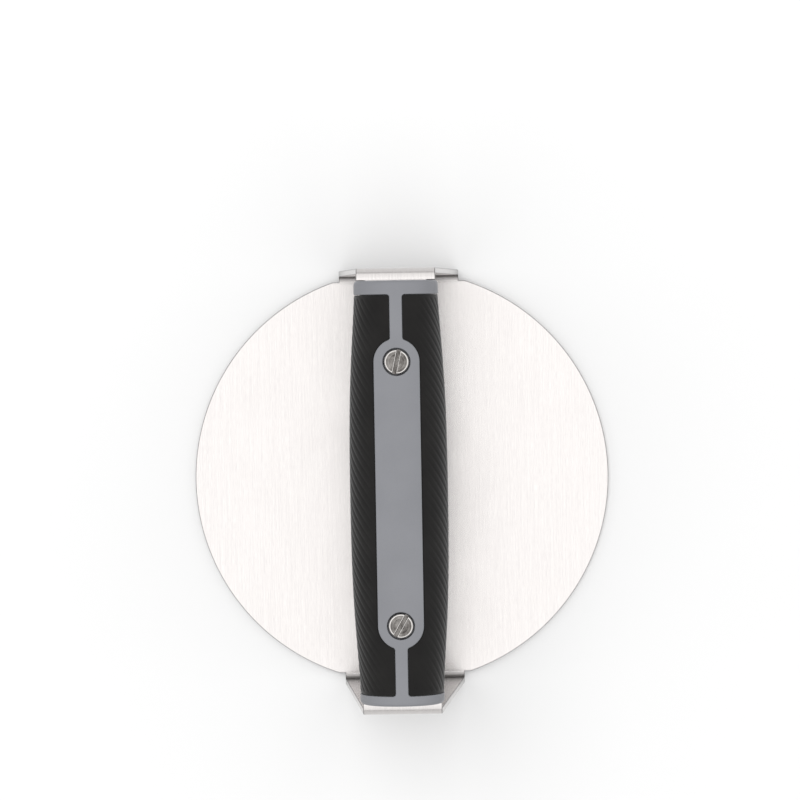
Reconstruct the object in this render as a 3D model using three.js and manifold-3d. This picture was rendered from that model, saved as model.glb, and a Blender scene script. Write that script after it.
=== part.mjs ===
// Round burger and bacon press. One blank of stainless sheet is bent into a flat pressing plate,
// two tapered legs and two tongues. A handle of two plastic halves clamps the tongues, held by
// two slotted screws in barrel nuts, and each half carries two soft rubber grips.
// Millimetres, +Z up, the handle runs along Y, the origin is the centre of the plate's underside.

import * as THREE from 'three';
import { mergeVertices } from 'three/addons/utils/BufferGeometryUtils.js';
import Module from 'manifold-3d';

// Sheet metal
const PLATE_DIAMETER = 152.4;
const SHEET = 2;
const BEND_RADIUS = 2;
const BRACKET_HEIGHT = 100;
const LEG_BASE_WIDTH = 44;
const LEG_TOP_WIDTH = 27;
const TONGUE_WIDTH = 20;
const TONGUE_PAST_SCREW = 8;
const TONGUE_CORNER = 3;

// Handle
const HANDLE_END_WIDTH = 28.6;
const HANDLE_WIDTH = 33.7;
const HANDLE_END_DEPTH = 12.6;
const HANDLE_DEPTH = 13.6;
const SECTION_POWER = 2.2;
const END_ROUNDING = 1.2;
const END_CAP = { front: 3.5, rear: 4.7 };
const STEM_WIDTH = 4.3;
const PANEL_WIDTH = 15.7;
const GRIP_THICKNESS = 2.2;
const GRIP_CORNER = 1;
const CORE_WALL = 2.6;
const CORE_RIB = 2;
const CORE_POCKET_LENGTH = 11;

// Screws and barrel nuts
const SCREW_INSET = 27.4;
const HEAD_DIAMETER = 8.4;
const HEAD_THICKNESS = 2.2;
const HEAD_CHAMFER = 0.5;
const HEAD_SETBACK = 0.2;
const SLOT_WIDTH = 1.5;
const SLOT_DEPTH = 1.1;
const THREAD_DIAMETER = 4;
const THREAD_PITCH = 0.7;
const THREAD_DEPTH = 0.3;
const THREAD_ENGAGEMENT = 7;
const BARREL_DIAMETER = 6;
const SCREW_TURN = { front: -30, rear: -12 };
const NUT_TURN = { front: 65, rear: 20 };

// Clearances
const GAP = 0.3;
const HANDLE_END_GAP = 0.3;
const HEAD_CLEARANCE = 0.5;
const CUT_MARGIN = 5;

// Fineness of curved faces
const RIM_STEPS = 96;
const BEND_STEPS = 6;
const SECTION_STEPS = 40;
const LENGTH_STEPS = 16;
const END_STEPS = 3;
const CORNER_STEPS = 4;
const ROUND_STEPS = 24;

// Places that follow from the sizes above
const legFace = PLATE_DIAMETER / 2;
const bendOuter = BEND_RADIUS + SHEET;
const bendLine = legFace - bendOuter;
const handleEnd = bendLine - HANDLE_END_GAP;
const partingZ = BRACKET_HEIGHT - SHEET / 2;
const screwY = handleEnd - SCREW_INSET;
const tongueEnd = screwY - TONGUE_PAST_SCREW;
const boreRadius = BARREL_DIAMETER / 2 + GAP;
const recessRadius = HEAD_DIAMETER / 2 + HEAD_CLEARANCE;
const headTopHeight = handleDepth(screwY) - HEAD_SETBACK;
const seatHeight = headTopHeight - HEAD_THICKNESS - GAP;

const wasm = await Module();
wasm.setup();

// A closed three.js geometry as a solid that can be joined and cut.
function solid(geometry) {
  const bare = geometry.clone();
  bare.deleteAttribute('normal');
  bare.deleteAttribute('uv');
  const merged = mergeVertices(bare);
  const vertProperties = new Float32Array(merged.attributes.position.array);
  const triVerts = new Uint32Array(merged.index.array);
  return new wasm.Manifold(new wasm.Mesh({ numProp: 3, vertProperties, triVerts }));
}

// A solid back as a three.js geometry with flat faces.
function geometryOf(body) {
  const mesh = body.getMesh();
  const geometry = new THREE.BufferGeometry();
  geometry.setAttribute('position', new THREE.BufferAttribute(mesh.vertProperties, 3));
  geometry.setIndex(new THREE.BufferAttribute(mesh.triVerts, 1));
  geometry.computeVertexNormals();
  return geometry;
}

// A box between two corners.
function block(low, high) {
  const size = high.map((value, axis) => value - low[axis]);
  const centre = high.map((value, axis) => (value + low[axis]) / 2);
  return solid(new THREE.BoxGeometry(...size).translate(...centre));
}

// An upright round bar or hole between two heights.
function roundBar(radius, y, lowZ, highZ) {
  const bar = new THREE.CylinderGeometry(radius, radius, highZ - lowZ, ROUND_STEPS);
  return solid(bar.rotateX(Math.PI / 2).translate(0, y, (lowZ + highZ) / 2));
}

// A plan outline in X and Y, raised between two heights.
function raised(outline, lowZ, highZ, steps) {
  const settings = { depth: highZ - lowZ, bevelEnabled: false, curveSegments: steps };
  return solid(new THREE.ExtrudeGeometry(outline, settings).translate(0, 0, lowZ));
}

// ---- Pressing plate, legs and tongues: one sheet ----

// The bent strip seen from the side: Y across, Z up, all of the sheet's bends.
function sheetProfile() {
  const quarter = Math.PI / 2;
  const upperBend = BRACKET_HEIGHT - bendOuter;
  const under = BRACKET_HEIGHT - SHEET;
  const shape = new THREE.Shape();
  shape.moveTo(-bendLine, 0);
  shape.lineTo(bendLine, 0);
  shape.absarc(bendLine, bendOuter, bendOuter, -quarter, 0, false);
  shape.absarc(bendLine, upperBend, bendOuter, 0, quarter, false);
  shape.lineTo(tongueEnd, BRACKET_HEIGHT);
  shape.lineTo(tongueEnd, under);
  shape.absarc(bendLine, upperBend, BEND_RADIUS, quarter, 0, true);
  shape.absarc(bendLine, bendOuter, BEND_RADIUS, 0, -quarter, true);
  shape.absarc(-bendLine, bendOuter, BEND_RADIUS, -quarter, -2 * quarter, true);
  shape.absarc(-bendLine, upperBend, BEND_RADIUS, 2 * quarter, quarter, true);
  shape.lineTo(-tongueEnd, under);
  shape.lineTo(-tongueEnd, BRACKET_HEIGHT);
  shape.absarc(-bendLine, upperBend, bendOuter, quarter, 2 * quarter, false);
  shape.absarc(-bendLine, bendOuter, bendOuter, 2 * quarter, 3 * quarter, false);
  return shape;
}

// The leg's outline seen from its end: wide at the plate, narrow at the top bend.
function legOutline() {
  const base = LEG_BASE_WIDTH / 2;
  const top = LEG_TOP_WIDTH / 2;
  const shape = new THREE.Shape();
  shape.moveTo(-base, -SHEET);
  shape.lineTo(base, -SHEET);
  shape.lineTo(base, bendOuter);
  shape.lineTo(top, BRACKET_HEIGHT - bendOuter);
  shape.lineTo(top, BRACKET_HEIGHT + SHEET);
  shape.lineTo(-top, BRACKET_HEIGHT + SHEET);
  shape.lineTo(-top, BRACKET_HEIGHT - bendOuter);
  shape.lineTo(-base, bendOuter);
  return shape;
}

// One tongue's plan outline, from the bend line inwards, with rounded inner corners.
function tongueOutline(side) {
  const half = TONGUE_WIDTH / 2;
  const centreX = half - TONGUE_CORNER;
  const centreY = side * (tongueEnd + TONGUE_CORNER);
  const outer = side * (bendLine + SHEET / 2);
  const shape = new THREE.Shape();
  shape.moveTo(half, outer);
  shape.absarc(centreX, centreY, TONGUE_CORNER, 0, -side * Math.PI / 2, side > 0);
  shape.absarc(-centreX, centreY, TONGUE_CORNER, -side * Math.PI / 2, -side * Math.PI, side > 0);
  shape.lineTo(-half, outer);
  return shape;
}

function pressPlate() {
  const sideToX = new THREE.Matrix4().makeBasis(
    new THREE.Vector3(0, 1, 0),
    new THREE.Vector3(0, 0, 1),
    new THREE.Vector3(1, 0, 0),
  );
  const strip = new THREE.ExtrudeGeometry(sheetProfile(), {
    depth: PLATE_DIAMETER,
    bevelEnabled: false,
    curveSegments: BEND_STEPS,
  });
  strip.translate(0, 0, -PLATE_DIAMETER / 2).applyMatrix4(sideToX);
  const disc = new THREE.CylinderGeometry(legFace, legFace, 3 * SHEET, RIM_STEPS);
  const flat = block([-legFace, -bendLine, -SHEET], [legFace, bendLine, bendOuter]);
  let keep = solid(disc.rotateX(Math.PI / 2)).intersect(flat);
  const legs = new THREE.ExtrudeGeometry(legOutline(), {
    depth: PLATE_DIAMETER + 2 * SHEET,
    bevelEnabled: false,
  });
  legs.translate(0, 0, -legFace - SHEET).rotateX(Math.PI / 2);
  const inside = block(
    [-legFace, -bendLine, bendOuter],
    [legFace, bendLine, BRACKET_HEIGHT + CUT_MARGIN],
  );
  keep = keep.add(solid(legs).subtract(inside));
  for (const side of [1, -1]) {
    const lowZ = BRACKET_HEIGHT - bendOuter;
    keep = keep.add(raised(tongueOutline(side), lowZ, BRACKET_HEIGHT + SHEET, CORNER_STEPS));
  }
  let sheet = solid(strip).intersect(keep);
  for (const y of [screwY, -screwY]) {
    const hole = roundBar(boreRadius, y, BRACKET_HEIGHT - bendOuter, BRACKET_HEIGHT + SHEET);
    sheet = sheet.subtract(hole);
  }
  return geometryOf(sheet);
}

// ---- Handle halves and grips ----

// How far the handle has swelled, 0 at its ends and 1 at its middle.
function swell(y) {
  const along = Math.min(1, (y / handleEnd) ** 2);
  return (1 - along) ** 2 * (1 + 1.5 * along);
}

function handleHalfWidth(y) {
  return (HANDLE_END_WIDTH + (HANDLE_WIDTH - HANDLE_END_WIDTH) * swell(y)) / 2;
}

// Height of the crown above the parting plane.
function handleDepth(y) {
  return HANDLE_END_DEPTH + (HANDLE_DEPTH - HANDLE_END_DEPTH) * swell(y);
}

// Stations along half of the handle: a rounded end, then even steps towards the middle.
function stations() {
  const list = [];
  for (let step = 0; step <= END_STEPS; step += 1) {
    const angle = (step / END_STEPS) * (Math.PI / 2);
    const rounding = END_ROUNDING * (1 - Math.sin(angle));
    list.push({ y: handleEnd - END_ROUNDING * (1 - Math.cos(angle)), rounding });
  }
  const straight = handleEnd - END_ROUNDING;
  const half = LENGTH_STEPS / 2;
  for (let step = 1; step < half; step += 1) {
    list.push({ y: straight * (1 - step / half), rounding: 0 });
  }
  return list;
}

// The whole handle's form, both halves together, drawn in by an even inset.
function handleForm(inset) {
  const half = stations();
  const mirrored = half.map(({ y, rounding }) => ({ y: -y, rounding }));
  const rows = [...mirrored, { y: 0, rounding: 0 }, ...half.reverse()];
  const last = rows.length - 1;
  const form = new THREE.CylinderGeometry(1, 1, last, SECTION_STEPS, last);
  const position = form.attributes.position;
  for (let index = 0; index < position.count; index += 1) {
    const row = rows[Math.round(position.getY(index) + last / 2)];
    const across = position.getX(index);
    const up = position.getZ(index);
    const squareX = Math.sign(across) * Math.abs(across) ** (2 / SECTION_POWER);
    const squareZ = Math.sign(up) * Math.abs(up) ** (2 / SECTION_POWER);
    const shrink = inset + row.rounding;
    const x = squareX * (handleHalfWidth(row.y) - shrink);
    const z = squareZ * (handleDepth(row.y) - shrink);
    position.setXYZ(index, x, row.y, partingZ + z);
  }
  return solid(form);
}

// From a grip's outer corner beside one end cap, in past the stem and round the panel's end.
function gripRun(cap, gap) {
  const stem = STEM_WIDTH / 2 + gap;
  const panel = PANEL_WIDTH / 2 + gap;
  const end = handleEnd - cap - gap;
  const outer = HANDLE_WIDTH / 2 + CUT_MARGIN;
  const reach = panel + GRIP_CORNER;
  const nookX = stem + GRIP_CORNER;
  const nookRise = Math.sqrt(reach ** 2 - nookX ** 2);
  const nookAngle = Math.atan2(nookRise, nookX);
  const points = [];
  const arc = (x, y, radius, from, to) => {
    const count = Math.max(CORNER_STEPS, Math.round(Math.abs(to - from) * radius));
    for (let step = 0; step <= count; step += 1) {
      const angle = from + ((to - from) * step) / count;
      points.push([x + radius * Math.cos(angle), y + radius * Math.sin(angle)]);
    }
  };
  points.push([outer, end]);
  arc(nookX, end - GRIP_CORNER, GRIP_CORNER, Math.PI / 2, Math.PI);
  arc(nookX, screwY + nookRise, GRIP_CORNER, Math.PI, Math.PI + nookAngle);
  arc(0, screwY, panel, nookAngle, 0);
  return points;
}

// Plan outline of the space for one grip: outside the panel and stems, between the end caps.
function gripOutline(side, gap) {
  const rear = gripRun(END_CAP.rear, gap);
  const front = gripRun(END_CAP.front, gap).map(([x, y]) => [x, -y]).reverse();
  const outline = [...rear, ...front].map(([x, y]) => new THREE.Vector2(side * x, y));
  return new THREE.Shape(outline);
}

// One half of the form, above or below the parting plane.
function halfSpace(up) {
  const wide = HANDLE_WIDTH / 2 + CUT_MARGIN;
  const long = handleEnd + CUT_MARGIN;
  const near = partingZ + (up * GAP) / 2;
  const far = partingZ + up * (HANDLE_DEPTH + CUT_MARGIN);
  return block([-wide, -long, Math.min(near, far)], [wide, long, Math.max(near, far)]);
}

// The pocket that a tongue lies in, shared by both halves.
function tonguePocket(side) {
  const half = TONGUE_WIDTH / 2 + GAP;
  const inner = side * (tongueEnd - GAP);
  const outer = side * (handleEnd + CUT_MARGIN);
  const lowZ = BRACKET_HEIGHT - SHEET - GAP;
  return block(
    [-half, Math.min(inner, outer), lowZ],
    [half, Math.max(inner, outer), BRACKET_HEIGHT + GAP],
  );
}

// Moulded pockets that keep the walls even, in two rows between the tongues.
function corePockets(up) {
  const wideEnough = handleHalfWidth(0) - GRIP_THICKNESS - CORE_WALL - 1.5;
  const depth = handleDepth(tongueEnd) / 2;
  const run = 2 * (tongueEnd - GAP - CORE_RIB);
  const count = Math.max(1, Math.floor((run + CORE_RIB) / (CORE_POCKET_LENGTH + CORE_RIB)));
  const length = (run + CORE_RIB) / count - CORE_RIB;
  const near = partingZ - up;
  const far = partingZ + up * depth;
  const pockets = [];
  for (let index = 0; index < count; index += 1) {
    const start = -run / 2 + index * (length + CORE_RIB);
    for (const side of [1, -1]) {
      const xs = [side * (CORE_RIB / 2), side * wideEnough].sort((a, b) => a - b);
      const zs = [near, far].sort((a, b) => a - b);
      pockets.push(block([xs[0], start, zs[0]], [xs[1], start + length, zs[1]]));
    }
  }
  return pockets;
}

function handleHalf(up) {
  const lowZ = partingZ - HANDLE_DEPTH - CUT_MARGIN;
  const highZ = partingZ + HANDLE_DEPTH + CUT_MARGIN;
  let half = handleForm(0).intersect(halfSpace(up));
  const underGrip = handleForm(GRIP_THICKNESS);
  for (const side of [1, -1]) {
    const space = raised(gripOutline(side, 0), lowZ, highZ, CORNER_STEPS);
    half = half.subtract(space.subtract(underGrip));
    half = half.subtract(tonguePocket(side));
    half = half.subtract(roundBar(boreRadius, side * screwY, lowZ, highZ));
    const seat = partingZ + up * seatHeight;
    const beyond = up > 0 ? highZ : lowZ;
    const recess = [Math.min(seat, beyond), Math.max(seat, beyond)];
    half = half.subtract(roundBar(recessRadius, side * screwY, ...recess));
  }
  for (const pocket of corePockets(up)) {
    half = half.subtract(pocket);
  }
  return geometryOf(half);
}

function grip(up, side) {
  const lowZ = partingZ - HANDLE_DEPTH - CUT_MARGIN;
  const highZ = partingZ + HANDLE_DEPTH + CUT_MARGIN;
  const space = raised(gripOutline(side, GAP), lowZ, highZ, CORNER_STEPS);
  const skin = handleForm(0).intersect(halfSpace(up)).intersect(space);
  return geometryOf(skin.subtract(handleForm(GRIP_THICKNESS - GAP)));
}

// ---- Screws and barrel nuts, drawn upright with the underside of the head at zero ----

// A driver slot across the top of a head.
function driverSlot() {
  const reach = HEAD_DIAMETER / 2 + 1;
  const half = SLOT_WIDTH / 2;
  return block([-half, -reach, HEAD_THICKNESS - SLOT_DEPTH], [half, reach, HEAD_THICKNESS + 1]);
}

function turned(points) {
  const profile = points.map(([x, z]) => new THREE.Vector2(x, z));
  return solid(new THREE.LatheGeometry(profile, ROUND_STEPS).rotateX(Math.PI / 2));
}

// Points from the edge of a head's underside up to its middle.
function headPoints() {
  const radius = HEAD_DIAMETER / 2;
  return [
    [radius, 0],
    [radius, HEAD_THICKNESS - HEAD_CHAMFER],
    [radius - HEAD_CHAMFER, HEAD_THICKNESS],
    [0, HEAD_THICKNESS],
  ];
}

function slottedScrew() {
  const crest = THREAD_DIAMETER / 2;
  const root = crest - THREAD_DEPTH;
  const length = 2 * seatHeight - barrelLength() + THREAD_ENGAGEMENT;
  const turns = Math.floor(THREAD_ENGAGEMENT / THREAD_PITCH);
  const points = [[0, -length]];
  points.push([root, -length]);
  for (let turn = 0; turn < turns; turn += 1) {
    const z = -length + turn * THREAD_PITCH;
    points.push([crest, z + THREAD_PITCH / 2]);
    points.push([root, z + THREAD_PITCH]);
  }
  points.push([crest, -length + (turns + 0.5) * THREAD_PITCH]);
  points.push([crest, 0]);
  return geometryOf(turned([...points, ...headPoints()]).subtract(driverSlot()));
}

// From under its own head up to a gap below the screw's head.
function barrelLength() {
  return 2 * seatHeight - 1;
}

function barrelNut() {
  const outside = BARREL_DIAMETER / 2;
  const bore = THREAD_DIAMETER / 2 + GAP;
  const length = barrelLength();
  const points = [
    [0, -1.5],
    [bore, -1.5],
    [bore, -length],
    [outside - 0.3, -length],
    [outside, -length + 0.3],
    [outside, 0],
  ];
  return geometryOf(turned([...points, ...headPoints()]).subtract(driverSlot()));
}

// ---- Assembly ----

const steel = new THREE.MeshStandardMaterial({ color: 0xcfcfd0, roughness: 0.32, metalness: 1 });
const greyPlastic = new THREE.MeshStandardMaterial({ color: 0x92949a, roughness: 0.5, metalness: 0 });
const softBlack = new THREE.MeshStandardMaterial({ color: 0x2d2b2b, roughness: 0.6, metalness: 0 });
const screwSteel = new THREE.MeshStandardMaterial({ color: 0xa9a6a2, roughness: 0.22, metalness: 1 });

const press = new THREE.Group();

function add(name, geometry, material) {
  const mesh = new THREE.Mesh(geometry, material.clone());
  mesh.name = name;
  press.add(mesh);
  return mesh;
}

add('press_plate', pressPlate(), steel);
for (const [level, up] of [['top', 1], ['bottom', -1]]) {
  add(`handle_${level}_half`, handleHalf(up), greyPlastic);
  add(`${level}_grip_left`, grip(up, -1), softBlack);
  add(`${level}_grip_right`, grip(up, 1), softBlack);
}
for (const [end, side] of [['front', -1], ['rear', 1]]) {
  const screw = add(`screw_${end}`, slottedScrew(), screwSteel);
  screw.position.set(0, side * screwY, partingZ + seatHeight + GAP);
  screw.rotation.z = THREE.MathUtils.degToRad(SCREW_TURN[end]);
  const nut = add(`barrel_nut_${end}`, barrelNut(), screwSteel);
  nut.position.set(0, side * screwY, partingZ - seatHeight - GAP);
  nut.rotation.set(Math.PI, 0, THREE.MathUtils.degToRad(NUT_TURN[end]));
}

export default press;
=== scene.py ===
import math

import bmesh
import bpy
import numpy as np
from mathutils import Euler, Matrix, Vector
from mathutils.geometry import delaunay_2d_cdt


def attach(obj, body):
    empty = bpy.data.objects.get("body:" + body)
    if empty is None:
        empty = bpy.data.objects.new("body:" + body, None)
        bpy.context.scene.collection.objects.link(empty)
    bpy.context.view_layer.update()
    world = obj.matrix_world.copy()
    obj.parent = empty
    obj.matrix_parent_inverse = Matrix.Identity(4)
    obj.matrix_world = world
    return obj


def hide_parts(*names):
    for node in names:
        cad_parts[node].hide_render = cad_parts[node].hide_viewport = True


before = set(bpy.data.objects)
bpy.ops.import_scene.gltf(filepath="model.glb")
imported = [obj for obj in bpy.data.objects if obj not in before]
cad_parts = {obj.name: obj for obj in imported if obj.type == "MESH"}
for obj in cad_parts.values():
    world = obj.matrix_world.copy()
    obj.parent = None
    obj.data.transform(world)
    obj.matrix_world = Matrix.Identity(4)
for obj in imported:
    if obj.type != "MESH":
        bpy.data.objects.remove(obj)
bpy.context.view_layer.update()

mm = 0.001


# ---- Table and studio light ----
# The press stands upright on a plain white table, under a wide soft light overhead.
# A long lens looks straight down on it from a little behind its middle.

table_reach = 4
table_below = 0.0002

scene = bpy.context.scene
scene.view_settings.view_transform = "Standard"

lens = bpy.data.cameras.new("overhead_camera")
lens.lens = 149.3
lens.sensor_width = 36
lens.clip_end = 10
camera = bpy.data.objects.new("overhead_camera", lens)
camera.location = (0.01297, 0.06425, 1.22614)
camera.rotation_euler = Euler([math.radians(turn) for turn in (-1.685, 0.588, -0.98)])
scene.collection.objects.link(camera)
scene.camera = camera


class Wire:
    """A node socket that can be used in sums."""

    def __init__(self, tree, socket=None):
        self.tree = tree
        self.socket = socket

    def node(self, kind, settings=None, sockets=None, output=0):
        """Adds a node: its settings first, then the values or wires of its sockets."""
        made = self.tree.nodes.new(kind)
        for name, value in (settings or {}).items():
            if name == "stops":
                ramp = made.color_ramp
                while len(ramp.elements) < len(value):
                    ramp.elements.new(1)
                for element, (place, colour) in zip(ramp.elements, value):
                    element.position = place
                    element.color = colour
            else:
                setattr(made, name, value)
        for name, value in (sockets or {}).items():
            if isinstance(value, Wire):
                self.tree.links.new(value.socket, made.inputs[name])
            else:
                made.inputs[name].default_value = value
        return Wire(self.tree, made.outputs[output])

    def maths(self, operation, *terms):
        return self.node("ShaderNodeMath", {"operation": operation}, dict(enumerate(terms)))

    def __add__(self, other):
        return self.maths("ADD", self, other)

    def __sub__(self, other):
        return self.maths("SUBTRACT", self, other)

    def __rsub__(self, other):
        return self.maths("SUBTRACT", other, self)

    def __mul__(self, other):
        return self.maths("MULTIPLY", self, other)

    def __truediv__(self, other):
        return self.maths("DIVIDE", self, other)

    def __rtruediv__(self, other):
        return self.maths("DIVIDE", other, self)

    def __pow__(self, other):
        return self.maths("POWER", self, other)

    __radd__ = __add__
    __rmul__ = __mul__

    def axis(self, name):
        return self.node("ShaderNodeSeparateXYZ", None, {0: self}, name)

    def vector(self, *parts):
        return self.node("ShaderNodeCombineXYZ", None, dict(enumerate(parts)))

    def stretched(self, size):
        """These coordinates with the pattern drawn out by a different number each way."""
        return self.node("ShaderNodeMapping", None, {"Vector": self, "Scale": size})

    def noise(self, scale, detail=2.0, roughness=0.5):
        sockets = {"Vector": self, "Scale": scale, "Detail": detail, "Roughness": roughness}
        return self.node("ShaderNodeTexNoise", None, sockets)

    def spread(self, low, high, to_low=0.0, to_high=1.0):
        """Numbers between low and high spread out between two others."""
        sockets = {"Value": self, 1: low, 2: high, 3: to_low, 4: to_high}
        return self.node("ShaderNodeMapRange", {"clamp": True}, sockets)

    def blend(self, first, second):
        """Two colours mixed by this number."""
        return self.node("ShaderNodeMix", {"data_type": "RGBA"}, {0: self, 6: first, 7: second}, 2)

    def bump(self, strength, distance):
        sockets = {"Height": self, "Strength": strength, "Distance": distance}
        return self.node("ShaderNodeBump", None, sockets)


def colour(red, green, blue):
    """A paint colour given in the usual 0 to 255 steps."""
    parts = [value / 255 for value in (red, green, blue)]
    linear = [v / 12.92 if v <= 0.04045 else ((v + 0.055) / 1.055) ** 2.4 for v in parts]
    return (*linear, 1)


def finish_of(name, paint, plain=None):
    """A material: paint wires what varies over the surface, plain holds what is even."""
    material = bpy.data.materials.new(name)
    material.use_nodes = True
    tree = material.node_tree
    shader = tree.nodes["Principled BSDF"]
    for socket, value in (plain or {}).items():
        shader.inputs[socket].default_value = value
    for socket, wire in paint(Wire(tree)).items():
        tree.links.new(wire.socket, shader.inputs[socket])
    return material


def table_paint(start):
    """A plain white table with the faintest cloud in it."""
    place = start.node("ShaderNodeTexCoord", output="Object")
    cloud = place.noise(6.0, 3.0)
    return {
        "Base Color": cloud.blend(colour(206, 206, 206), colour(210, 210, 210)),
        "Roughness": cloud.spread(0.3, 0.7, 0.55, 0.65),
    }


table_top = bmesh.new()
bmesh.ops.create_grid(table_top, x_segments=8, y_segments=8, size=table_reach)
table_mesh = bpy.data.meshes.new("table")
table_top.to_mesh(table_mesh)
table_top.free()
table = bpy.data.objects.new("table", table_mesh)
table_mesh.transform(Matrix.Translation((0, 0, -table_below)))
table_mesh.materials.append(finish_of("white_table", table_paint))
scene.collection.objects.link(table)


lamp = bpy.data.lights.new("soft_box", "AREA")
lamp.shape = "DISK"
lamp.size = 1.3
lamp.energy = 9
soft_box = bpy.data.objects.new("soft_box", lamp)
soft_box.location = (-0.4, 0.6, 1.8)
soft_box.rotation_euler = (-soft_box.location).to_track_quat("-Z", "Y").to_euler()
soft_box.visible_glossy = False
scene.collection.objects.link(soft_box)

studio = bpy.data.worlds.new("white_studio")
studio.use_nodes = True
sky = Wire(studio.node_tree).node("ShaderNodeTexCoord", output="Generated").axis("Z")
low_sky = [(0.0, 1.0), (0.14, 1.0), (0.2, 0.5), (0.28, 0.7)]
high_sky = [(0.45, 1.4), (0.85, 1.5), (0.95, 1.7), (1.0, 1.8)]
shades = {"stops": [(height, (light, light, light, 1)) for height, light in low_sky + high_sky]}
glow = sky.node("ShaderNodeValToRGB", shades, {"Fac": sky})
studio.node_tree.links.new(glow.socket, studio.node_tree.nodes["Background"].inputs["Color"])
scene.world = studio


# ---- Press plate, legs and tongues ----
# One blank of 2 mm stainless sheet, cut with its edges broken, then folded four times:
# the round pressing plate, a tapered leg up at each end, and a tongue back over each leg.

sheet = 2.0
bend_inside = 2.0
press_height = 100.0
plate_radius = 76.2
leg_base = 22.0
leg_top = 13.5
tongue_half = 10.0
tongue_corner = 3.0
shoulder_rise = 0.25
shoulder_corner = 1.0
broken_edge = 0.26
bend_steps = 12
# The painted shade on the lower folds fades out this far up the legs, and darkens the steel by at
# most this share.
fold_shade_run = 45
fold_shade_depth = 0.76
merge_within = 0.0005
screw_y = 44.5
tongue_end = 36.5
bore_radius = 3.3

bend_outside = bend_inside + sheet
bend_start = plate_radius - bend_outside
bend_run = (bend_inside + sheet / 2) * math.pi / 2
leg_run = press_height - 2 * bend_outside
tongue_start = bend_start + 2 * bend_run + leg_run
blank_end = tongue_start + bend_start - tongue_end
screw_blank = tongue_start + bend_start - screw_y


def arc(x, y, radius, start, end, steps):
    turns = [math.radians(start + (end - start) * k / steps) for k in range(steps + 1)]
    return [(x + radius * math.cos(turn), y + radius * math.sin(turn)) for turn in turns]


def blank_outline():
    """The flat blank, x across and y along it, walked anticlockwise."""
    chord = math.degrees(math.asin(bend_start / plate_radius))
    quarter = arc(0, 0, plate_radius, 0, chord, 60)
    quarter += [(leg_base, bend_start), (leg_base, bend_start + bend_run)]
    quarter += [(leg_top, bend_start + bend_run + leg_run)]
    shoulder = tongue_start + shoulder_rise
    quarter += [(leg_top, shoulder - 0.01)]
    corner_x = tongue_half + shoulder_corner
    quarter += arc(corner_x, shoulder + shoulder_corner, shoulder_corner, -90, -180, 6)
    nose = blank_end - tongue_corner
    quarter += arc(tongue_half - tongue_corner, nose, tongue_corner, 0, 90, 10)
    upper = quarter + [(-x, y) for x, y in reversed(quarter)]
    lower = [(-x, -y) for x, y in upper]
    return upper[:-1] + lower[:-1]


def geometry_tree(name, inputs):
    """A geometry tree with named sizes: the tree, its geometry wire and a wire for each size."""
    tree = bpy.data.node_groups.new(name, "GeometryNodeTree")
    face = tree.interface
    face.new_socket("Geometry", in_out="INPUT", socket_type="NodeSocketGeometry")
    face.new_socket("Geometry", in_out="OUTPUT", socket_type="NodeSocketGeometry")
    for label in inputs:
        face.new_socket(label, in_out="INPUT", socket_type="NodeSocketFloat")
    face.new_socket("Material", in_out="INPUT", socket_type="NodeSocketMaterial")
    entry = tree.nodes.new("NodeGroupInput")
    sizes = {label: Wire(tree, entry.outputs[label]) for label in inputs}
    shape = Wire(tree, entry.outputs["Geometry"])
    material = Wire(tree, entry.outputs["Material"])
    return tree, shape, sizes, material


def close_tree(shape, material):
    """Ends a tree: copies made real, then the material."""
    real = shape.node("GeometryNodeRealizeInstances", None, {"Geometry": shape})
    done = real.node("GeometryNodeSetMaterial", None, {"Geometry": real, "Material": material})
    leave = done.tree.nodes.new("NodeGroupOutput")
    done.tree.links.new(done.socket, leave.inputs["Geometry"])


def evaluated_mesh(piece, name):
    """A plain mesh of a piece with all its modifiers done, in place of the piece."""
    graph = bpy.context.evaluated_depsgraph_get()
    mesh = bpy.data.meshes.new_from_object(piece.evaluated_get(graph), depsgraph=graph)
    old = piece.data
    bpy.data.objects.remove(piece)
    if isinstance(old, bpy.types.Mesh):
        bpy.data.meshes.remove(old)
    mesh.name = name
    return mesh


def shaped(mesh, tree, values):
    """A flat mesh put through a tree, as a plain mesh."""
    work = bpy.data.objects.new("work", mesh)
    scene.collection.objects.link(work)
    forming = work.modifiers.new("forming", "NODES")
    forming.node_group = tree
    for item in tree.interface.items_tree:
        if item.item_type == "SOCKET" and item.in_out == "INPUT" and item.name in values:
            forming[item.identifier] = values[item.name]
    return evaluated_mesh(work, "formed")


def cut_from(mesh, cutter):
    """A mesh with a closed cutter taken out of it."""
    work = bpy.data.objects.new("work", mesh)
    tool = bpy.data.objects.new("tool", cutter)
    scene.collection.objects.link(work)
    scene.collection.objects.link(tool)
    milling = work.modifiers.new("milling", "BOOLEAN")
    milling.operation = "DIFFERENCE"
    milling.solver = "EXACT"
    milling.object = tool
    done = evaluated_mesh(work, "milled")
    bpy.data.objects.remove(tool)
    bpy.data.meshes.remove(cutter)
    return done


def finished(mesh, name, replaced, sharp=32):
    """The finished piece: edges read crisp or smooth by their angle, fixed to the press."""
    for face in mesh.polygons:
        face.use_smooth = True
    mesh.set_sharp_from_angle(angle=math.radians(sharp))
    work = bpy.data.objects.new("work", mesh)
    scene.collection.objects.link(work)
    evening = work.modifiers.new("evening", "WEIGHTED_NORMAL")
    evening.keep_sharp = True
    piece = bpy.data.objects.new(name, evaluated_mesh(work, name))
    scene.collection.objects.link(piece)
    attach(piece, "root")
    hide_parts(replaced)


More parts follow.
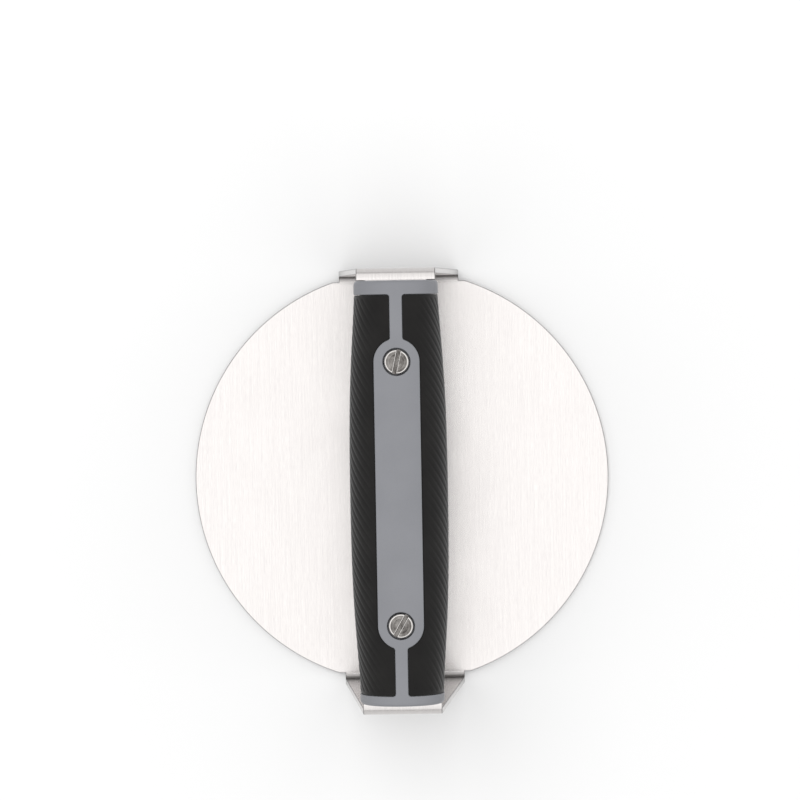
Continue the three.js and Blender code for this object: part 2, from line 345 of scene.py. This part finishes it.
def fold_tree():
    """Folds a flat blank: z is how far a point lies inside the outer face."""
    labels = ["Flat", "Outer Radius", "Bend Run", "Leg Run"]
    tree, shape, size, material = geometry_tree("fold_sheet", labels)
    place = shape.node("GeometryNodeInputPosition")
    along = place.axis("Y")
    end = along.maths("SIGN", along)
    s = along.maths("ABSOLUTE", along)
    radius = size["Outer Radius"] - place.axis("Z")
    quarter = math.pi / 2

    def part(start, length):
        beyond = s.maths("MAXIMUM", s - start, 0)
        return beyond.maths("MINIMUM", beyond, length)

    flat = s.maths("MINIMUM", s, size["Flat"])
    lower = part(size["Flat"], size["Bend Run"]) / size["Bend Run"] * quarter
    leg_from = size["Flat"] + size["Bend Run"]
    leg = part(leg_from, size["Leg Run"])
    upper_from = leg_from + size["Leg Run"]
    upper = part(upper_from, size["Bend Run"]) / size["Bend Run"] * quarter
    tongue = part(upper_from + size["Bend Run"], 1000.0)
    turn = lower.maths("SINE", lower) * upper.maths("COSINE", upper)
    y = flat + radius * turn - tongue
    rise = upper.maths("SINE", upper) - lower.maths("COSINE", lower)
    z = size["Outer Radius"] + leg + radius * rise
    folded = shape.vector(place.axis("X") * mm, y * end * mm, z * mm)
    keep = {"data_type": "FLOAT_VECTOR", "domain": "POINT"}
    kept = shape.node(
        "GeometryNodeStoreNamedAttribute",
        keep,
        {"Geometry": shape, "Name": "blank", "Value": place},
    )
    moved = kept.node("GeometryNodeSetPosition", None, {"Geometry": kept, "Position": folded})
    close_tree(moved, material)
    return tree


def sheet_paint(start):
    """Stainless with a fine grain brushed along the blank before it was bent. The lower folds
    are painted darker as shade and dark reflection, fading up the legs, and the broken edges are
    painted darker than the faces as a dark reflection."""
    flat = start.node("ShaderNodeAttribute", {"attribute_name": "blank"}, output="Vector")
    broken = start.node("ShaderNodeAttribute", {"attribute_name": "broken"}, output="Fac")
    grain = flat.stretched((1.0, 0.035, 1.0)).noise(9.0, 5.0, 0.7)
    coarse = flat.stretched((1.0, 0.02, 1.0)).noise(2.4, 3.0, 0.6)
    smudge = flat.noise(0.05, 3.0, 0.6)
    tone = grain * 0.7 + coarse * 0.3
    shine = tone.spread(0.3, 0.7, 0.19, 0.26) + smudge.spread(0.35, 0.7, 0.0, 0.03)
    along = flat.axis("Y")
    along = along.maths("ABSOLUTE", along)
    fold_end = bend_start + bend_run
    # Painted shade and dark reflection: the steel is darkened over the lower folds, fading out up
    # the legs.
    wear_and_fold_shade = along.spread(fold_end, fold_end + fold_shade_run, 1.0, 0.0)
    fold_shade = along.spread(bend_start - 1, bend_start + 3) * wear_and_fold_shade * wear_and_fold_shade * fold_shade_depth
    below_tongue = along.spread(tongue_start - 3, tongue_start - 1, 1.0, 0.0)
    on_leg = along.spread(bend_start, fold_end) * below_tongue
    steel = tone.spread(0.36, 0.64).blend(colour(191, 187, 186), colour(207, 204, 202))
    steel = fold_shade.blend(steel, colour(104, 102, 101))
    # Painted dark reflection on the broken edges: darkest on the legs, lighter on the plate rim,
    # fading out below the tongues.
    edge_shade = on_leg.blend(colour(150, 148, 147), colour(74, 72, 71))
    return {
        "Base Color": broken.blend(steel, edge_shade),
        "Roughness": shine,
        "Normal": grain.bump(0.06, 0.00003),
    }


def mark_slopes(mesh, name):
    """Marks the faces that are neither flat nor upright, which are its broken edges."""
    mark = mesh.attributes.new(name, "FLOAT", "FACE")
    for face, entry in zip(mesh.polygons, mark.data):
        entry.value = 0.1 < abs(face.normal.z) < 0.99


def flat_blank():
    """The cut blank as a solid, its edges broken, with a line at each step of each bend."""
    curve = bpy.data.curves.new("blank", "CURVE")
    curve.dimensions = "2D"
    curve.fill_mode = "BOTH"
    curve.extrude = sheet / 2 - broken_edge
    curve.bevel_depth = broken_edge
    curve.bevel_resolution = 2
    curve.offset = -broken_edge
    holes = [arc(0, side * screw_blank, bore_radius, 0, -337.5, 15) for side in (1, -1)]
    for loop in [blank_outline(), *holes]:
        spline = curve.splines.new("POLY")
        spline.points.add(len(loop) - 1)
        for point, (x, y) in zip(spline.points, loop):
            point.co = (x, y, 0, 1)
        spline.use_cyclic_u = True
    drawn = bpy.data.objects.new("drawn", curve)
    scene.collection.objects.link(drawn)
    mesh = evaluated_mesh(drawn, "blank")
    cut = bmesh.new()
    cut.from_mesh(mesh)
    bmesh.ops.remove_doubles(cut, verts=cut.verts, dist=merge_within)
    bmesh.ops.translate(cut, verts=cut.verts, vec=(0, 0, sheet / 2))
    for start in (bend_start, tongue_start - bend_run):
        for step in range(bend_steps + 1):
            for side in (1, -1):
                line = (0, side * (start + bend_run * step / bend_steps), 0)
                parts = [*cut.verts, *cut.edges, *cut.faces]
                bmesh.ops.bisect_plane(
                    cut, geom=parts, dist=merge_within, plane_co=line, plane_no=(0, 1, 0)
                )
    bmesh.ops.recalc_face_normals(cut, faces=cut.faces)
    cut.to_mesh(mesh)
    cut.free()
    mark_slopes(mesh, "broken")
    return mesh


brushed_steel = finish_of("brushed_steel", sheet_paint, {"Metallic": 1.0})
folding = {
    "Flat": bend_start,
    "Outer Radius": bend_outside,
    "Bend Run": bend_run,
    "Leg Run": leg_run,
    "Material": brushed_steel,
}
folded_sheet = shaped(flat_blank(), fold_tree(), folding)
facing_out = bmesh.new()
facing_out.from_mesh(folded_sheet)
bmesh.ops.recalc_face_normals(facing_out, faces=facing_out.faces)
facing_out.to_mesh(folded_sheet)
facing_out.free()
finished(folded_sheet, "press_sheet", "press_plate", 40)


# ---- Handle halves ----
# Two alike halves of grey moulded plastic, one turned over under the other, that clamp the
# tongues. Each has a raised panel and stems down its crown, and sunk seats for the soft grips.

end_width = 28.6
middle_width = 33.7
end_depth = 12.6
middle_depth = 13.6
section_power = 2.2
girth_radius = 15.5
half_gap = 0.15
handle_end = bend_start - 0.3
front_end, rear_end = handle_end - 3.5, handle_end - 4.7
stem_half = 2.15
panel_half = 7.85
nook_radius = 1.0
seat_depth = 2.2
end_rounding = 1.3
lip_rounding = 0.35
parting_rounding = 0.25
row_step = 3.2
parting_z = press_height - sheet / 2
girth = math.pi * girth_radius
recess_radius = 4.7
recess_lip = 0.3
head_seat = 10.5
round_steps = 64
slot_gap = 0.3
pocket_count = 5
pocket_rib = 2
pocket_ceiling = 6.7
core_wall = 2.3
flank_wall = 6.3
cut_past = 5


def handle_size(y):
    """Half width, and depth below the crown, at a place along the handle."""
    along = min(1, (y / handle_end) ** 2)
    swell = (1 - along) ** 2 * (1 + 1.5 * along)
    width = end_width + (middle_width - end_width) * swell
    return width / 2, end_depth + (middle_depth - end_depth) * swell - half_gap


def crown(x, y):
    """Height of the handle's skin above its own half of the parting plane."""
    a, b = handle_size(y)
    return b * (1 - min(1, abs(x) / a) ** section_power) ** (1 / section_power)


def round_the_girth(x, y):
    """How far round the handle, from its left parting edge, a place on the skin lies."""
    return girth_radius * math.atan2(crown(x, y), -x)


def seat_run(end, inset):
    """Half of a seat's outline, from the end cap in past the stem and along the panel."""
    corner = nook_radius - inset
    nook_x = stem_half + nook_radius
    reach = panel_half + nook_radius
    nook_rise = math.sqrt(reach**2 - nook_x**2)
    lean = math.degrees(math.atan2(nook_rise, nook_x))
    top = arc(nook_x, end - nook_radius, corner, 90, 180, 6)
    top += arc(nook_x, screw_y + nook_rise, corner, 180, 180 + lean, 8)
    top += arc(0, screw_y, panel_half + inset, lean, 0, 24)[1:]
    return top + [(panel_half + inset, screw_y * (1 - k / 10)) for k in range(1, 10)]


def seat_edge(inset, outer):
    """Outline of the left grip's seat drawn in by an inset, from an outer girth at each end."""
    rear, front = seat_run(rear_end, inset), seat_run(front_end, inset)
    whole = rear + [(panel_half + inset, 0)] + [(x, -y) for x, y in reversed(front)]
    ring = [(round_the_girth(-x, y), y) for x, y in whole]
    return [(outer, rear_end - inset), *ring, (outer, inset - front_end)]


def away(points, line):
    """Distance of many points from a line of short straight runs."""
    points = np.array(points)[:, None, :]
    line = np.array(line)
    start, step = line[:-1][None], (line[1:] - line[:-1])[None]
    share = ((points - start) * step).sum(2) / (step**2).sum(2)
    foot = start + np.clip(share, 0, 1)[:, :, None] * step
    return np.sqrt(((points - foot) ** 2).sum(2)).min(1)


def rounded(distance, radius):
    """How far a rounded edge has dropped, this far in from it."""
    inside = np.clip(radius - distance, 0, radius)
    return radius - np.sqrt(radius**2 - inside**2)


def rounding_steps(radius, count=4):
    return [radius * (1 - math.cos(math.pi / 2 * k / count)) for k in range(count + 1)]


def net(outlines, lines):
    """Cuts the first outline along the others and along lines into points and faces.
    Each face comes with whether it lies in one of the other outlines."""
    points, edges, loops = [], [], []
    for outline in outlines:
        area = sum(a[0] * b[1] - b[0] * a[1] for a, b in zip(outline, outline[1:] + outline[:1]))
        loops.append(list(range(len(points), len(points) + len(outline))))
        points += outline if area > 0 else outline[::-1]
    for line in lines:
        edges += [(k, k + 1) for k in range(len(points), len(points) + len(line) - 1)]
        points += line
    flat = [Vector(point) for point in points]
    made = delaunay_2d_cdt(flat, edges, loops, 0, 0.00001, True)
    faces = []
    for face, inside in zip(made[2], made[5]):
        if 0 in inside:
            a, b, c = [made[0][index] for index in face]
            turn = 1 if (b - a).cross(c - a) > 0 else -1
            faces.append((list(face)[::turn], len(inside) > 1))
    used = {index: k for k, index in enumerate(sorted({i for face, _ in faces for i in face}))}
    faces = [([used[index] for index in face], sunk) for face, sunk in faces]
    return [tuple(made[0][index]) for index in used], faces


def mirrored(outline):
    return [(girth - across, along) for across, along in reversed(outline)]


def flat_half():
    """A half's skin laid flat: girth, length and height over the skin. Its two ends and the
    parting face underneath close it."""
    beyond = seat_edge(0, -2)
    sheet_edge = [(0, -handle_end), (girth, -handle_end), (girth, handle_end), (0, handle_end)]
    lines = []
    for inset in rounding_steps(lip_rounding)[1:]:
        ring = seat_edge(-inset, -2)
        lines += [ring, mirrored(ring)]
    ends = [handle_end - inset for inset in rounding_steps(end_rounding, 6)[1:]]
    lengths = [*ends, *[k * row_step for k in range(22) if k * row_step < ends[-1] - 1]]
    for y in lengths:
        lines += [[(-1, side * y), (girth + 1, side * y)] for side in (1, -1)]
    partings = rounding_steps(parting_rounding, 3)[1:]
    rounds = [*partings, *[1 + k * (girth / 2 - 1) / 22 for k in range(23)]]
    for across in rounds:
        for place in {across, girth - across}:
            lines.append([(place, -handle_end - 1), (place, handle_end + 1)])
    points, faces = net([sheet_edge, beyond, mirrored(beyond)], lines)
    places = np.array(points)
    both = [away(points, outline) for outline in (beyond, mirrored(beyond))]
    drop = rounded(np.minimum(*both), lip_rounding) ** 2
    drop = drop + rounded(handle_end - abs(places[:, 1]), end_rounding) ** 2
    across = np.minimum(places[:, 0], girth - places[:, 0])
    drop = np.sqrt(drop + rounded(across, parting_rounding) ** 2)
    skin = bmesh.new()
    corners = {}

    def corner(index, sunk):
        if (index, sunk) not in corners:
            height = -seat_depth if sunk else -drop[index]
            corners[index, sunk] = skin.verts.new((*points[index], height))
        return corners[index, sunk]

    sides = {}
    for face, sunk in faces:
        skin.faces.new([corner(index, sunk) for index in face])
        for k, index in enumerate(face):
            sides[index, face[(k + 1) % len(face)]] = sunk
    for (start, end), sunk in sides.items():
        if not sunk and sides.get((end, start)):
            lip = [corner(end, False), corner(start, False)]
            skin.faces.new([*lip, corner(start, True), corner(end, True)])
    step = {}
    for rim in skin.edges:
        if len(rim.link_faces) == 1:
            loop = rim.link_loops[0]
            step[loop.link_loop_next.vert] = loop.vert
    walk = [next(iter(step))]
    while step[walk[-1]] is not walk[0]:
        walk.append(step[walk[-1]])

    def at(vert, side):
        return abs(vert.co.y - side * handle_end) < 0.001

    start = next(k for k, vert in enumerate(walk) if at(vert, 1) and not at(walk[k - 1], 1))
    walk = walk[start:] + walk[:start]
    far = [vert for vert in walk if at(vert, 1)]
    near = [vert for vert in walk if at(vert, -1)]
    turn = walk.index(near[0])
    one_edge = [far[-1], *walk[len(far) : turn], near[0]]
    other_edge = [near[-1], *walk[turn + len(near) :], far[0]]
    skin.faces.new(far)
    skin.faces.new(near)
    skin.faces.new(one_edge + other_edge)
    mesh = bpy.data.meshes.new("flat_half")
    skin.to_mesh(mesh)
    skin.free()
    return mesh


def wrap_tree():
    """Wraps a flat skin round the handle's swelling section, with ribs where it is marked."""
    labels = ["Half Length", "End Width", "Middle Width", "End Depth", "Middle Depth"]
    labels += ["Section Power", "Girth Radius", "Parting Height"]
    labels += ["Rib Pitch", "Rib Height", "Rib Lean"]
    tree, shape, size, material = geometry_tree("wrap_handle", labels)
    place = shape.node("GeometryNodeInputPosition")
    g, y, height = [place.axis(name) for name in "XYZ"]
    number = {"data_type": "FLOAT"}
    ribbed = shape.node("GeometryNodeInputNamedAttribute", number, {"Name": "ribbed"})
    phase = (y + g * size["Rib Lean"]) / size["Rib Pitch"] * (2 * math.pi)
    groove = (0.5 - 0.5 * phase.maths("COSINE", phase)) ** 3.0 * ribbed
    height = height - groove * size["Rib Height"]
    along = (y / size["Half Length"]) ** 2.0
    along = along.maths("MINIMUM", along, 1)
    swell = (1 - along) ** 2.0 * (1 + 1.5 * along)
    a = (size["End Width"] + (size["Middle Width"] - size["End Width"]) * swell) * 0.5
    b = size["End Depth"] + (size["Middle Depth"] - size["End Depth"]) * swell
    angle = g / size["Girth Radius"]
    cosine = angle.maths("COSINE", angle)
    sine = angle.maths("MAXIMUM", angle.maths("SINE", angle), 0)
    power = size["Section Power"]
    c = cosine.maths("ABSOLUTE", cosine) / a
    s = sine / b
    radius = (c**power + s**power) ** (-1 / power)
    out_x = c ** (power - 1) / a * cosine.maths("SIGN", cosine)
    out_z = s ** (power - 1) / b
    length = (out_x**2.0 + out_z**2.0) ** 0.5
    x = (radius * cosine + height * out_x / length) * -1
    z = radius * sine + height * out_z / length + size["Parting Height"]
    wrapped = shape.vector(x * mm, y * mm, z * mm)
    keep = {"data_type": "FLOAT", "domain": "POINT"}
    values = {"Geometry": shape, "Name": "groove", "Value": groove}
    kept = shape.node("GeometryNodeStoreNamedAttribute", keep, values)
    moved = kept.node("GeometryNodeSetPosition", None, {"Geometry": kept, "Position": wrapped})
    close_tree(moved, material)
    return tree


def box_mesh(boxes):
    """Closed boxes between opposite corners, in millimetres."""
    joined = bmesh.new()
    for low, high in boxes:
        low, high = Vector(low), Vector(high)
        made = bmesh.ops.create_cube(joined, size=1)["verts"]
        bmesh.ops.scale(joined, verts=made, vec=(high - low) * mm)
        bmesh.ops.translate(joined, verts=made, vec=(high + low) / 2 * mm)
    mesh = bpy.data.meshes.new("boxes")
    joined.to_mesh(mesh)
    joined.free()
    return mesh


def lathe(profile, steps, height_of=None):
    """A closed turned mesh from points of radius and height, bottom to top, in millimetres."""
    turned = bmesh.new()
    rows = []
    for radius, z in profile:
        if radius == 0:
            at = height_of(0, 0, z) if height_of else z
            rows.append([turned.verts.new((0, 0, at * mm))])
            continue
        row = []
        for k in range(steps):
            turn = 2 * math.pi * k / steps
            x, y = radius * math.cos(turn), radius * math.sin(turn)
            at = height_of(x, y, z) if height_of else z
            row.append(turned.verts.new((x * mm, y * mm, at * mm)))
        rows.append(row)
    for low, high in zip(rows, rows[1:]):
        for k in range(steps):
            following = (k + 1) % steps
            ring = [low[k % len(low)], low[following % len(low)]]
            ring += [high[following % len(high)], high[k % len(high)]]
            turned.faces.new(list(dict.fromkeys(ring)))
    bmesh.ops.recalc_face_normals(turned, faces=turned.faces)
    mesh = bpy.data.meshes.new("turned")
    turned.to_mesh(mesh)
    turned.free()
    return mesh


def joined_mesh(meshes):
    joined = bmesh.new()
    for mesh in meshes:
        joined.from_mesh(mesh)
        bpy.data.meshes.remove(mesh)
    mesh = bpy.data.meshes.new("joined")
    joined.to_mesh(mesh)
    joined.free()
    return mesh


def half_pockets():
    """The tongues' slots and two rows of core pockets, open at the parting plane."""
    z = parting_z
    boxes = []
    for side in (1, -1):
        near, far = sorted((side * (tongue_end - slot_gap), side * (handle_end + cut_past)))
        wide = tongue_half + slot_gap
        top = z + sheet / 2 + slot_gap
        boxes.append(((-wide, near, z - cut_past), (wide, far, top)))
    wide = middle_width / 2 - flank_wall
    run = 2 * (tongue_end - core_wall)
    length = (run + pocket_rib) / pocket_count - pocket_rib
    for k in range(pocket_count):
        start = -run / 2 + k * (length + pocket_rib)
        for x0, x1 in ((pocket_rib / 2, wide), (-wide, -pocket_rib / 2)):
            low, high = (x0, start, z - cut_past), (x1, start + length, z + pocket_ceiling)
            boxes.append((low, high))
    return box_mesh(boxes)


def screw_bores():
    """A bore and a round recess with a softened lip at each screw. Heights near on_skin are
    measured from the handle's skin, the others from the parting plane."""
    on_skin = 100
    bores = []
    for side in (1, -1):

        def height(x, y, z, side=side):
            if z < on_skin / 2:
                return parting_z + z
            return parting_z + half_gap + crown(x, side * screw_y + y) + z - on_skin

        profile = [(0, -cut_past), (bore_radius, -cut_past)]
        profile += [(bore_radius, head_seat), (recess_radius, head_seat)]
        insets = rounding_steps(recess_lip)
        for k, inset in enumerate(insets):
            rise = math.sin(math.pi / 2 * k / (len(insets) - 1))
            profile.append((recess_radius + inset, on_skin - recess_lip * (1 - rise)))
        profile += [(recess_radius + recess_lip + 0.05, on_skin + 1), (0, on_skin + 1)]
        bore = lathe(profile, round_steps, height)
        bore.transform(Matrix.Translation((0, side * screw_y * mm, 0)))
        bores.append(bore)
    return joined_mesh(bores)


def plastic_paint(start):
    """Grey plastic from a finely etched mould, with a soft even grain and rubbed patches."""
    place = start.node("ShaderNodeTexCoord", output="Object")
    etched = place.noise(5200.0, 3.0, 0.6)
    cloud = place.noise(60.0, 3.0, 0.5)
    wear_and_fold_shade = place.noise(300.0, 4.0, 0.6)
    tone = cloud.spread(0.35, 0.65).blend(colour(108, 109, 113), colour(112, 113, 117))
    return {
        "Base Color": etched.spread(0.3, 0.7, 0.0, 0.35).blend(tone, colour(122, 123, 127)),
        "Roughness": wear_and_fold_shade.spread(0.3, 0.7, 0.42, 0.54),
        "Normal": etched.bump(0.25, 0.00003),
    }


grey_plastic = finish_of("grey_plastic", plastic_paint, {"Specular IOR Level": 0.3})
wrapping = {
    "Half Length": handle_end,
    "End Width": end_width,
    "Middle Width": middle_width,
    "End Depth": end_depth - half_gap,
    "Middle Depth": middle_depth - half_gap,
    "Section Power": section_power,
    "Girth Radius": girth_radius,
    "Parting Height": parting_z + half_gap,
    "Rib Pitch": 3.5,
    "Rib Height": 0.18,
    "Rib Lean": 1.3,
}
wrap = wrap_tree()
top_half = shaped(flat_half(), wrap, {**wrapping, "Material": grey_plastic})
top_half = cut_from(top_half, half_pockets())
top_half = cut_from(top_half, screw_bores())


def turned_over(mesh):
    """A copy turned half round the handle's own length."""
    copy = mesh.copy()
    centre = Matrix.Translation((0, 0, parting_z * mm))
    copy.transform(centre @ Matrix.Rotation(math.pi, 4, "Y") @ centre.inverted())
    return copy


bottom_half = turned_over(top_half)
finished(top_half, "handle_upper_half", "handle_top_half")
finished(bottom_half, "handle_lower_half", "handle_bottom_half")


# ---- Soft grips ----
# Four black rubber inlays pressed into the seats of the halves, two to a half.
# Slanting ribs run round them, stop short of a plain rounded border and die out to the panel.

grip_gap = 0.15
grip_under = 2.0
border_rounding = 0.4
plain_border = 1.0
parting_border = 2.3
rib_fade = 0.35
rib_lines = 11


def flat_grip(side):
    """A grip laid flat: its outline, rounded border and the part of its top with ribs."""
    outline = seat_edge(grip_gap, 0)
    widest = max(across for across, along in outline)
    lines = [seat_edge(grip_gap + inset, -1) for inset in rounding_steps(border_rounding, 3)[1:]]
    borders = (plain_border, plain_border + rib_fade)
    lines += [seat_edge(grip_gap + inset, -1) for inset in borders]
    rounds = [*rounding_steps(parting_rounding, 2)[1:], 0.8, parting_border]
    rounds += [parting_border + rib_fade + (widest - parting_border) * k / 13 for k in range(13)]
    lines += [[(across, -handle_end), (across, handle_end)] for across in rounds]
    spacing = wrapping["Rib Pitch"] / rib_lines
    slope = -side * wrapping["Rib Lean"]
    for k in range(round(-2 * handle_end / spacing), round(2 * handle_end / spacing)):
        line = [(-1, k * spacing + slope), (widest + 1, k * spacing - slope * (widest + 1))]
        if min(y for _, y in line) < handle_end and max(y for _, y in line) > -handle_end:
            lines.append(line)
    points, faces = net([outline], lines)
    places = np.array(points)
    from_edge = away(points, outline)
    across = places[:, 0]
    drop = rounded(from_edge, border_rounding) ** 2
    drop = np.sqrt(drop + rounded(across, parting_rounding) ** 2)
    ribbed = np.minimum(from_edge - plain_border, across - parting_border) / rib_fade
    towards_panel = across / widest
    ribbed = np.clip(ribbed, 0, 1) * np.clip(1.25 - towards_panel * 1.4, 0.1, 1)
    drop = drop + wrapping["Rib Height"] * (1 - ribbed)
    count = len(points)
    low = np.column_stack([places, np.full(count, -grip_under)])
    high = np.column_stack([places, -drop])
    directed = {(face[k], face[k - 2]) for face, _ in faces for k in range(3)}
    walls = [(b, a, a + count, b + count) for a, b in directed if (b, a) not in directed]
    tops = [face for face, _ in faces]
    unders = [[index + count for index in reversed(face)] for face in tops]
    mesh = bpy.data.meshes.new("flat_grip")
    mesh.from_pydata([*map(tuple, high), *map(tuple, low)], [], [*tops, *unders, *walls])
    mark = mesh.attributes.new("ribbed", "FLOAT", "POINT")
    mark.data.foreach_set("value", np.concatenate([ribbed, ribbed * 0]).astype(np.float32))
    if side > 0:
        mesh.transform(Matrix.Translation((girth, 0, 0)) @ Matrix.Scale(-1, 4, (1, 0, 0)))
        mesh.flip_normals()
    return mesh


def rubber_paint(start):
    """Black rubber: matt, with a fine mould grain. Dust greys it a little, and the grooves are
    painted darker as shade.
    """
    place = start.node("ShaderNodeTexCoord", output="Object")
    groove = start.node("ShaderNodeAttribute", {"attribute_name": "groove"}, output="Fac")
    grain = place.noise(4200.0, 3.0, 0.6)
    cloud = place.noise(90.0, 3.0, 0.55)
    # Dust greys the rubber at random; in the grooves the grey is cut back, which paints shade
    # there.
    dust_and_groove_shade = (0.3 + cloud.spread(0.35, 0.7) * 0.7) * (1 - groove * 0.6)
    return {
        "Base Color": dust_and_groove_shade.blend(colour(10, 9, 9), colour(21, 20, 19)),
        "Roughness": grain.spread(0.3, 0.7, 0.5, 0.62),
        "Normal": grain.bump(0.3, 0.00004),
    }


matt = {"Specular IOR Level": 0.1, "Sheen Weight": 0.17}
black_rubber = finish_of("black_rubber", rubber_paint, matt)
dressing = {**wrapping, "Material": black_rubber}
left_grip = shaped(flat_grip(-1), wrap, dressing)
right_grip = shaped(flat_grip(1), wrap, dressing)
under_left = turned_over(right_grip)
under_right = turned_over(left_grip)
finished(left_grip, "upper_left_grip", "top_grip_left")
finished(right_grip, "upper_right_grip", "top_grip_right")
finished(under_left, "lower_left_grip", "bottom_grip_left")
finished(under_right, "lower_right_grip", "bottom_grip_right")


# ---- Screws and barrel nuts ----
# Turned steel, bright finished: slotted screws go in from the top and run down into slotted
# barrel nuts that come up from below, drawing the two halves together on the tongues.

head_radius = 4.2
head_thickness = 2.2
slot_half = 0.62
slot_depth = 1.1
thread_radius = 2.0
thread_pitch = 0.7
thread_depth = 0.3
thread_run = 7.0
thread_steps = 12
thread_play = 0.3
barrel_radius = 3.0
barrel_run = 2 * head_seat - 1
shank_run = 2 * head_seat - barrel_run + thread_run


def head_profile():
    """From the edge of a head's underside up to its middle, its corners just broken."""
    top = head_thickness
    radius = head_radius
    profile = [(radius - 0.1, 0), (radius, 0.1), (radius, top - 0.5), (radius - 0.1, top - 0.36)]
    profile += [(radius - 0.4, top - 0.06), (radius - 0.6, top), (radius - 0.65, top)]
    return profile + [(1.5, top), (0, top)]


def driver_slot():
    """A straight driver slot with its upper edges just broken."""
    floor, top = head_thickness - slot_depth, head_thickness
    section = [(-slot_half, floor), (slot_half, floor), (slot_half, top - 0.2)]
    section += [(slot_half + 0.1, top - 0.05), (slot_half + 0.4, top + 0.07)]
    section += [(slot_half + 0.4, top + 2)]
    section += [(-x, z) for x, z in reversed(section[2:])]
    cutter = bmesh.new()
    ends = []
    for y in (-head_radius - 1, head_radius + 1):
        ends.append([cutter.verts.new((x * mm, y * mm, z * mm)) for x, z in section])
    cutter.faces.new(ends[0])
    cutter.faces.new(ends[1][::-1])
    for k in range(len(section)):
        cutter.faces.new([ends[0][k], ends[0][k - 1], ends[1][k - 1], ends[1][k]])
    bmesh.ops.recalc_face_normals(cutter, faces=cutter.faces)
    mesh = bpy.data.meshes.new("driver_slot")
    cutter.to_mesh(mesh)
    cutter.free()
    return mesh


def screw_mesh():
    """Head, and a shank with a real helical thread over its lower run."""
    profile = [(0, -shank_run), (thread_radius - thread_depth - 0.3, -shank_run)]
    count = int(thread_run / thread_pitch * thread_steps)
    for k in range(count + 1):
        profile.append((thread_radius, -shank_run + 0.4 + thread_run * k / count))
    profile += [(thread_radius, 0), *head_profile()]
    mesh = lathe(profile, round_steps)
    for vert in mesh.vertices:
        x, y, z = vert.co / mm
        across = math.hypot(x, y)
        low = -shank_run + 0.3
        high = low + thread_run + 0.2
        if low < z < high and abs(across - thread_radius) < 0.01:
            turn = z / thread_pitch - math.atan2(y, x) / (2 * math.pi)
            away_from_crest = abs(turn % 1 - 0.5) * 2
            share = min(1, (high - z) / thread_pitch)
            new = thread_radius - thread_depth * min(1, away_from_crest * 1.15) * share
            vert.co.x *= new / across
            vert.co.y *= new / across
    return cut_from(mesh, driver_slot())


def barrel_mesh():
    """Head, and a plain barrel with a blind bore."""
    bore = thread_radius + thread_play
    profile = [(0, -1.5), (bore, -1.5), (bore, -barrel_run + 0.2), (bore + 0.2, -barrel_run)]
    profile += [(barrel_radius - 0.3, -barrel_run), (barrel_radius, -barrel_run + 0.3)]
    profile += [(barrel_radius, 0), *head_profile()]
    return cut_from(lathe(profile, round_steps), driver_slot())


def turned_paint(start):
    """Turned steel: fine rings left by the tool, a face painted dark in patches as a dark
    reflection, and edges painted bright as highlights.
    """
    ringed = start.node("ShaderNodeAttribute", {"attribute_name": "turned"}, output="Vector")
    across = ringed.axis("X")
    rings = across.vector(across, 0.0, 0.0).noise(2300.0, 2.0, 0.7)
    worn = start.node("ShaderNodeAttribute", {"attribute_name": "worn"}, output="Fac")
    place = start.node("ShaderNodeTexCoord", output="Object")
    face_patches = place.noise(520.0, 3.0, 0.6)
    tone = rings * 0.5 + face_patches * 0.5
    # The face is painted dark as a reflection of the dark overhead, its tone varying with the
    # rings and random patches.
    face = tone.spread(0.38, 0.62).blend(colour(68, 65, 63), colour(130, 127, 124))
    return {
        # The sloped edges are painted bright as highlights.
        "Base Color": worn.blend(face, colour(208, 205, 202)),
        "Roughness": rings.spread(0.3, 0.7, 0.18, 0.32),
        "Normal": rings.bump(0.5, 0.00004),
    }


turned_steel = finish_of("turned_steel", turned_paint, {"Metallic": 1.0})


def placed(mesh, name, node, y, z, over, turn):
    """A turned part set in its bore, its distances from its own axis and its sloped edges, which
    get painted highlights, marked on it."""
    part = mesh.copy()
    part.materials.append(turned_steel)
    # The sloped edges are marked for painted highlights.
    mark_slopes(part, "worn")
    mark = part.attributes.new("turned", "FLOAT_VECTOR", "POINT")
    for vert, entry in zip(part.vertices, mark.data):
        entry.vector = (math.hypot(vert.co.x, vert.co.y) + vert.co.z, vert.co.z, 0)
    spin = Matrix.Rotation(math.radians(turn), 4, "Z")
    tip = Matrix.Rotation(math.pi if over else 0, 4, "X")
    part.transform(Matrix.Translation((0, y * mm, z * mm)) @ tip @ spin)
    finished(part, name, node)


screw, barrel = screw_mesh(), barrel_mesh()
lift = head_seat + 0.3
for end, side, screw_turn, nut_turn in (("front", -1, -30, 65), ("rear", 1, -12, 20)):
    y = side * screw_y
    placed(screw, f"{end}_screw", f"screw_{end}", y, parting_z + lift, False, screw_turn)
    placed(barrel, f"{end}_barrel_nut", f"barrel_nut_{end}", y, parting_z - lift, True, nut_turn)
